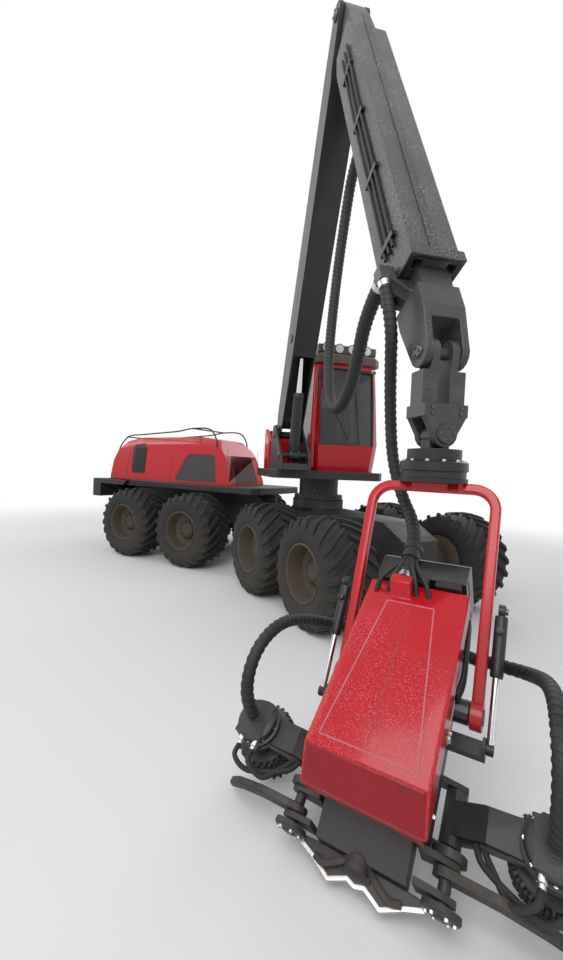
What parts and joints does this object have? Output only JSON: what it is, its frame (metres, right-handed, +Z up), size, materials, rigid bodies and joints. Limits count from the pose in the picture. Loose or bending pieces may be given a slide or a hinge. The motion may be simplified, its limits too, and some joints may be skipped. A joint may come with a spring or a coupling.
{
  "type": "eight-wheeled forestry harvester with harvester head",
  "caption": "Articulated eight-wheeled forestry harvester: hooded engine at the rear, cab and knuckle crane on a slewing platform, telescopic boom, rotator and felling head.",
  "frame": {"origin": "middle of the machine's bounding box in plan, on the ground", "axes": "+X along the front frame towards its nose, +Y to the machine's left, +Z up"},
  "size_m": [10.5228, 4.7295, 7.1852],
  "materials": {
    "red_paint": "gloss",
    "crane_paint": "satin",
    "frame_paint": "satin",
    "cast_block": "matte",
    "mesh_black": "matte",
    "roof_plastic": "matte",
    "cab_glazing": "gloss",
    "seat_fabric": "matte",
    "rod_chrome": "polished",
    "worn_steel": "worn",
    "tyre_rubber": "matte",
    "hose_rubber": "matte"
  },
  "bodies": {
    "chassis": {"front_frame": "frame_paint", "front_bogies": "frame_paint"},
    "rear_body": {"rear_frame": "frame_paint", "rear_bogies": "frame_paint", "deck_tank": "frame_paint", "engine_block": "cast_block"},
    "hood": {"hood_shell": "red_paint", "hood_grilles": "mesh_black", "hood_rail": "frame_paint"},
    "upper_body": {"turntable": "frame_paint", "cab_shell": "red_paint", "cab_roof": "roof_plastic", "cab_glass": "cab_glazing", "cab_seat": "seat_fabric", "crane_guard": "red_paint"},
    "door": {"cab_door": "red_paint", "door_glass": "cab_glazing"},
    "inner_body": {"inner_boom": "crane_paint"},
    "outer_body": {"outer_boom": "crane_paint", "boom_hose": "hose_rubber"},
    "extension_body": {"boom_extension": "crane_paint", "head_hose": "hose_rubber"},
    "link": {"upper_link": "crane_paint"},
    "rotator_body": {"rotator": "crane_paint"},
    "hoop_body": {"rotator_flange": "crane_paint", "tilt_frame": "red_paint"},
    "head_body": {"head_frame": "crane_paint", "head_cover": "red_paint", "front_knife": "worn_steel", "roller_hose_left": "hose_rubber", "roller_hose_right": "hose_rubber"},
    "saw_body": {"saw_bar": "worn_steel"},
    "lift_barrel_body": {"lift_barrel": "crane_paint"},
    "lift_rod_body": {"lift_rod": "rod_chrome"},
    "knuckle_barrel_body": {"knuckle_barrel": "crane_paint"},
    "knuckle_rod_body": {"knuckle_rod": "rod_chrome"},
    "tilt_barrel_body": {"tilt_barrels": "crane_paint"},
    "tilt_rod_body": {"tilt_rods": "rod_chrome"},
    "wheel_front_left_lead": {"wheel_front_left_lead": "tyre_rubber"},
    "wheel_front_left_trail": {"wheel_front_left_trail": "tyre_rubber"},
    "wheel_front_right_lead": {"wheel_front_right_lead": "tyre_rubber"},
    "wheel_front_right_trail": {"wheel_front_right_trail": "tyre_rubber"},
    "wheel_rear_left_lead": {"wheel_rear_left_lead": "tyre_rubber"},
    "wheel_rear_left_trail": {"wheel_rear_left_trail": "tyre_rubber"},
    "wheel_rear_right_lead": {"wheel_rear_right_lead": "tyre_rubber"},
    "wheel_rear_right_trail": {"wheel_rear_right_trail": "tyre_rubber"},
    "knife_left_body": {"knife_left": "worn_steel"},
    "feed_arm_left_body": {"feed_arm_left": "crane_paint"},
    "roller_left_body": {"feed_roller_left": "worn_steel"},
    "steer_barrel_left_body": {"steer_barrel_left": "crane_paint"},
    "steer_rod_left_body": {"steer_rod_left": "rod_chrome"},
    "knife_right_body": {"knife_right": "worn_steel"},
    "feed_arm_right_body": {"feed_arm_right": "crane_paint"},
    "roller_right_body": {"feed_roller_right": "worn_steel"},
    "steer_barrel_right_body": {"steer_barrel_right": "crane_paint"},
    "steer_rod_right_body": {"steer_rod_right": "rod_chrome"}
  },
  "joints": [
    {"name": "steering", "type": "hinge", "parent": "chassis", "child": "rear_body", "pos_m": [-1.026, 0.865, 0.98], "axis": [0, 0, 1], "range_deg": [-73, 11]},
    {"name": "axle_front_left_lead", "type": "hinge", "parent": "chassis", "child": "wheel_front_left_lead", "pos_m": [1.882, 2.015, 0.6774], "axis": [0, 1, 0], "continuous": true},
    {"name": "axle_front_left_trail", "type": "hinge", "parent": "chassis", "child": "wheel_front_left_trail", "pos_m": [0.356, 2.015, 0.6774], "axis": [0, 1, 0], "continuous": true},
    {"name": "axle_front_right_lead", "type": "hinge", "parent": "chassis", "child": "wheel_front_right_lead", "pos_m": [1.882, -0.285, 0.6774], "axis": [0, 1, 0], "continuous": true},
    {"name": "axle_front_right_trail", "type": "hinge", "parent": "chassis", "child": "wheel_front_right_trail", "pos_m": [0.356, -0.285, 0.6774], "axis": [0, 1, 0], "continuous": true},
    {"name": "axle_rear_left_lead", "type": "hinge", "parent": "rear_body", "child": "wheel_rear_left_lead", "pos_m": [-2.81576, 1.13123, 0.6774], "axis": [-0.515, 0.8572, 0], "continuous": true},
    {"name": "axle_rear_left_trail", "type": "hinge", "parent": "rear_body", "child": "wheel_rear_left_trail", "pos_m": [-4.12379, 0.34529, 0.6774], "axis": [-0.515, 0.8572, 0], "continuous": true},
    {"name": "axle_rear_right_lead", "type": "hinge", "parent": "rear_body", "child": "wheel_rear_right_lead", "pos_m": [-1.63117, -0.84025, 0.6774], "axis": [-0.515, 0.8572, 0], "continuous": true},
    {"name": "axle_rear_right_trail", "type": "hinge", "parent": "rear_body", "child": "wheel_rear_right_trail", "pos_m": [-2.93921, -1.6262, 0.6774], "axis": [-0.515, 0.8572, 0], "continuous": true},
    {"name": "slew", "type": "hinge", "parent": "chassis", "child": "upper_body", "pos_m": [-0.026, 0.865, 1.74], "axis": [0, 0, 1], "range_deg": [-93.5, 126.5]},
    {"name": "hood_lid", "type": "hinge", "parent": "rear_body", "child": "hood", "pos_m": [-4.52324, -1.23636, 1.4953], "axis": [0.515, -0.8572, 0], "range_deg": [0, 60]},
    {"name": "cab_door_hinge", "type": "hinge", "parent": "upper_body", "child": "door", "pos_m": [-0.2216, 1.85951, 2.15], "axis": [0, 0, 1], "range_deg": [0, 95]},
    {"name": "inner_raise", "type": "hinge", "parent": "upper_body", "child": "inner_body", "pos_m": [0.07704, 0.15656, 2.42], "axis": [-0.284, -0.9588, 0], "range_deg": [-70, 16]},
    {"name": "outer_fold", "type": "hinge", "parent": "inner_body", "child": "outer_body", "pos_m": [2.14169, -0.45502, 6.77692], "axis": [0.284, 0.9588, 0], "range_deg": [-110, 10]},
    {"name": "extension_retract", "type": "slide", "parent": "outer_body", "child": "extension_body", "axis": [-0.4263, 0.1263, 0.8957], "range_m": [-1.6, 0], "deforming": ["boom_hose"]},
    {"name": "link_swing", "type": "hinge", "parent": "extension_body", "child": "link", "pos_m": [4.09298, -1.03301, 2.67725], "axis": [-0.284, -0.9588, 0], "range_deg": [-50, 50], "deforming": ["head_hose"]},
    {"name": "link_roll", "type": "hinge", "parent": "link", "child": "rotator_body", "pos_m": [4.09298, -1.03301, 2.15725], "axis": [0.9588, -0.284, 0], "range_deg": [-20, 20]},
    {"name": "rotator_turn", "type": "hinge", "parent": "rotator_body", "child": "hoop_body", "pos_m": [4.09298, -1.03301, 1.91925], "axis": [0, 0, 1], "continuous": true},
    {"name": "head_tilt", "type": "hinge", "parent": "hoop_body", "child": "head_body", "pos_m": [4.30764, -1.4171, 0.65925], "axis": [-0.8729, -0.4879, 0], "range_deg": [-8, 120]},
    {"name": "saw_swing", "type": "hinge", "parent": "head_body", "child": "saw_body", "pos_m": [3.96541, -1.19421, 1.21967], "axis": [-0.3896, 0.6971, 0.6018], "range_deg": [0, 100]},
    {"name": "knife_left_close", "type": "hinge", "parent": "head_body", "child": "knife_left_body", "pos_m": [4.87301, -1.7113, 0.23284], "axis": [-0.3896, 0.6971, 0.6018], "range_deg": [0, 100]},
    {"name": "feed_arm_left_close", "type": "hinge", "parent": "head_body", "child": "feed_arm_left_body", "pos_m": [4.68023, -1.40736, 0.34086], "axis": [-0.3896, 0.6971, 0.6018], "range_deg": [0, 35], "deforming": ["roller_hose_left"]},
    {"name": "feed_roller_left_spin", "type": "hinge", "parent": "feed_arm_left_body", "child": "roller_left_body", "pos_m": [5.09231, -1.32477, 0.31256], "axis": [0.2936, -0.5253, 0.7986], "continuous": true},
    {"name": "knife_right_close", "type": "hinge", "parent": "head_body", "child": "knife_right_body", "pos_m": [4.26196, -2.0528, 0.23284], "axis": [0.3896, -0.6971, -0.6018], "range_deg": [0, 100]},
    {"name": "feed_arm_right_close", "type": "hinge", "parent": "head_body", "child": "feed_arm_right_body", "pos_m": [4.10411, -1.72935, 0.34086], "axis": [0.3896, -0.6971, -0.6018], "range_deg": [0, 35], "deforming": ["roller_hose_right"]},
    {"name": "feed_roller_right_spin", "type": "hinge", "parent": "feed_arm_right_body", "child": "roller_right_body", "pos_m": [3.81784, -2.03704, 0.31256], "axis": [0.2936, -0.5253, 0.7986], "continuous": true},
    {"name": "lift_barrel_turn", "type": "hinge", "parent": "upper_body", "child": "lift_barrel_body", "pos_m": [0.48933, 0.03444, 2.09], "axis": [-0.284, -0.9588, 0], "range_deg": [-71, 17]},
    {"name": "lift_rod_slide", "type": "slide", "parent": "lift_barrel_body", "child": "lift_rod_body", "axis": [0.1437, -0.0426, 0.9887], "range_m": [-0.624, 0.146]},
    {"name": "knuckle_barrel_turn", "type": "hinge", "parent": "inner_body", "child": "knuckle_barrel_body", "pos_m": [0.76593, -0.0475, 4.68625], "axis": [-0.284, -0.9588, 0], "range_deg": [-7, 2]},
    {"name": "knuckle_rod_slide", "type": "slide", "parent": "knuckle_barrel_body", "child": "knuckle_rod_body", "axis": [0.4182, -0.1239, 0.8999], "range_m": [-0.653, 0.063]},
    {"name": "steer_left_barrel_turn", "type": "hinge", "parent": "chassis", "child": "steer_barrel_left_body", "pos_m": [-0.026, 1.325, 0.98], "axis": [0, 0, 1], "range_deg": [-22, 5]},
    {"name": "steer_left_rod_slide", "type": "slide", "parent": "steer_barrel_left_body", "child": "steer_rod_left_body", "axis": [-0.9907, -0.1363, 0], "range_m": [-0.613, 0.096]},
    {"name": "steer_right_barrel_turn", "type": "hinge", "parent": "chassis", "child": "steer_barrel_right_body", "pos_m": [-0.026, 0.405, 0.98], "axis": [0, 0, 1], "range_deg": [-21, 4]},
    {"name": "steer_right_rod_slide", "type": "slide", "parent": "steer_barrel_right_body", "child": "steer_rod_right_body", "axis": [-0.987, -0.1605, 0], "range_m": [-0.099, 0.634]},
    {"name": "tilt_barrel_turn", "type": "hinge", "parent": "hoop_body", "child": "tilt_barrel_body", "pos_m": [4.21247, -1.24683, 1.1735], "axis": [-0.8729, -0.4879, 0], "range_deg": [-2, 11]},
    {"name": "tilt_rod_slide", "type": "slide", "parent": "tilt_barrel_body", "child": "tilt_rod_body", "axis": [0.2197, -0.3931, -0.8929], "range_m": [-0.238, 0.02]}
  ],
  "couplings": [
    {"joint": "lift_barrel_turn", "follows": "inner_raise", "ratio": 0.98768},
    {"joint": "lift_rod_slide", "follows": "inner_raise", "m_per_rad": 0.50705},
    {"joint": "knuckle_barrel_turn", "follows": "outer_fold", "ratio": 0.05036},
    {"joint": "knuckle_rod_slide", "follows": "outer_fold", "m_per_rad": 0.33789},
    {"joint": "steer_left_barrel_turn", "follows": "steering", "ratio": 0.28325},
    {"joint": "steer_left_rod_slide", "follows": "steering", "m_per_rad": 0.47734},
    {"joint": "steer_right_barrel_turn", "follows": "steering", "ratio": 0.2714},
    {"joint": "steer_right_rod_slide", "follows": "steering", "m_per_rad": -0.49399},
    {"joint": "tilt_barrel_turn", "follows": "head_tilt", "ratio": 0.0795},
    {"joint": "tilt_rod_slide", "follows": "head_tilt", "m_per_rad": -0.11155}
  ]
}
